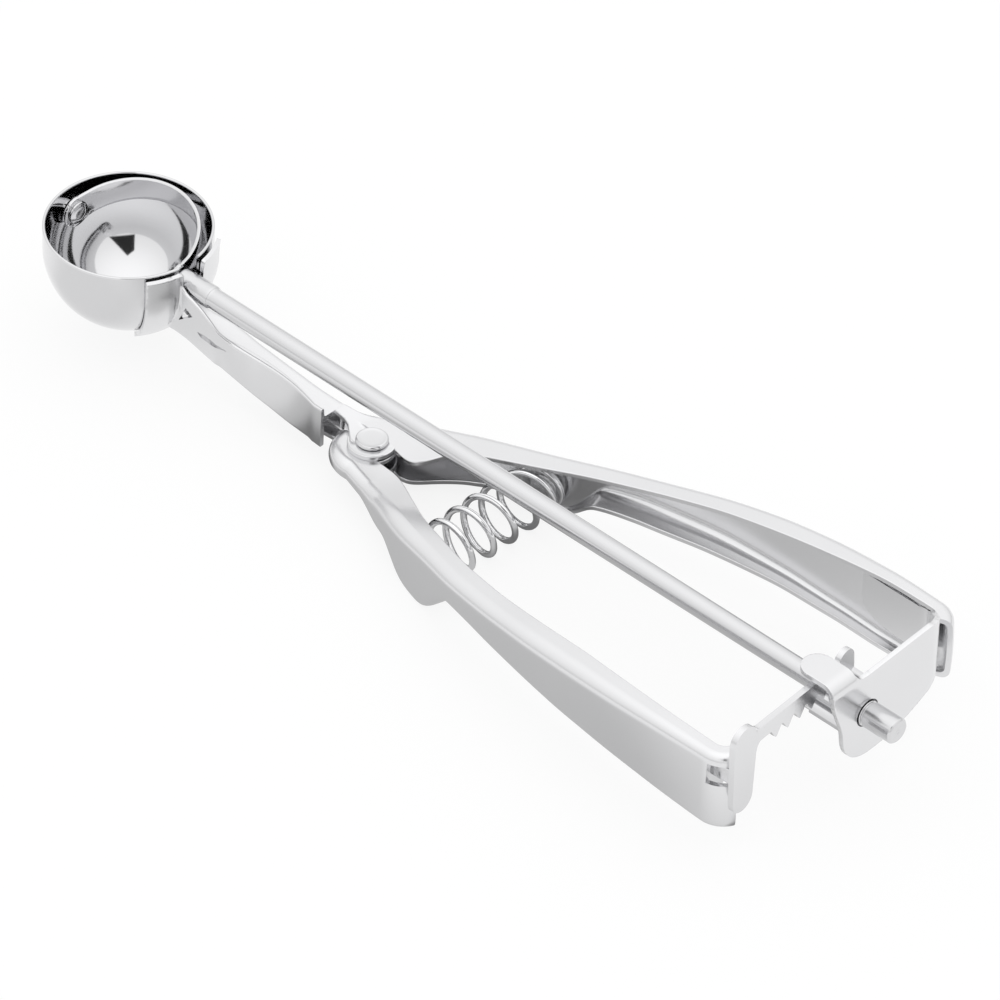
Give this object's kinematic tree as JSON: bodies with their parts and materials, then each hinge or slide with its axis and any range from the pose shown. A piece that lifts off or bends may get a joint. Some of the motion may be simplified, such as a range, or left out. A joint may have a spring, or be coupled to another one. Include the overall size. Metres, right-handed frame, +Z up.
{
  "type": "ice cream scoop",
  "caption": "Squeeze-handle ice cream scoop: half-round bowl with a sweeping scraper, turned through a rod, pinion and rack by a sprung second handle",
  "frame": {"origin": "middle of the base of the bounding box: the lowest point is the pair of lobes round the spring's seats", "axes": "X along the rod from the bowl to the handle ends, Y towards the fixed handle, Z up out of the bowl's mouth"},
  "size_m": [0.2076, 0.0596, 0.0302],
  "materials": {
    "polished_steel": "polished stainless steel, mirror bright",
    "satin_steel": "stainless steel with a fine satin grain",
    "spring_wire": "bright drawn spring wire"
  },
  "bodies": {
    "frame": {"handle_frame": "satin_steel", "bowl": "polished_steel", "pivot_rivet": "satin_steel", "end_plate": "satin_steel", "scraper_rivet": "polished_steel", "return_spring": "spring_wire"},
    "handle": {"squeeze_handle": "satin_steel"},
    "rack": {"rack": "satin_steel"},
    "shaft": {"drive_rod": "satin_steel", "pinion": "satin_steel", "scraper_blade": "polished_steel"}
  },
  "joints": [
    {"name": "handle_pivot", "type": "hinge", "parent": "frame", "child": "handle", "pos_m": [-0.02383, 0.00077, 0.0057], "axis": [0, 0, 1], "range_deg": [0, 7.06], "stiffness_Nm_per_rad": 2, "springref_deg": -4.58, "deforming": ["return_spring"]},
    {"name": "rack_hook", "type": "hinge", "parent": "handle", "child": "rack", "pos_m": [0.09207, -0.02713, 0.0189], "axis": [0, 0, 1], "range_deg": [-9.9, 0]},
    {"name": "shaft_spin", "type": "hinge", "parent": "frame", "child": "shaft", "pos_m": [0.00317, 0.00077, 0.0189], "axis": [1, 0, 0], "range_deg": [-176.2, 0]}
  ],
  "couplings": [
    {"joint": "rack_hook", "follows": "handle_pivot", "ratio": -1.4},
    {"joint": "shaft_spin", "follows": "handle_pivot", "ratio": -24.9}
  ]
}
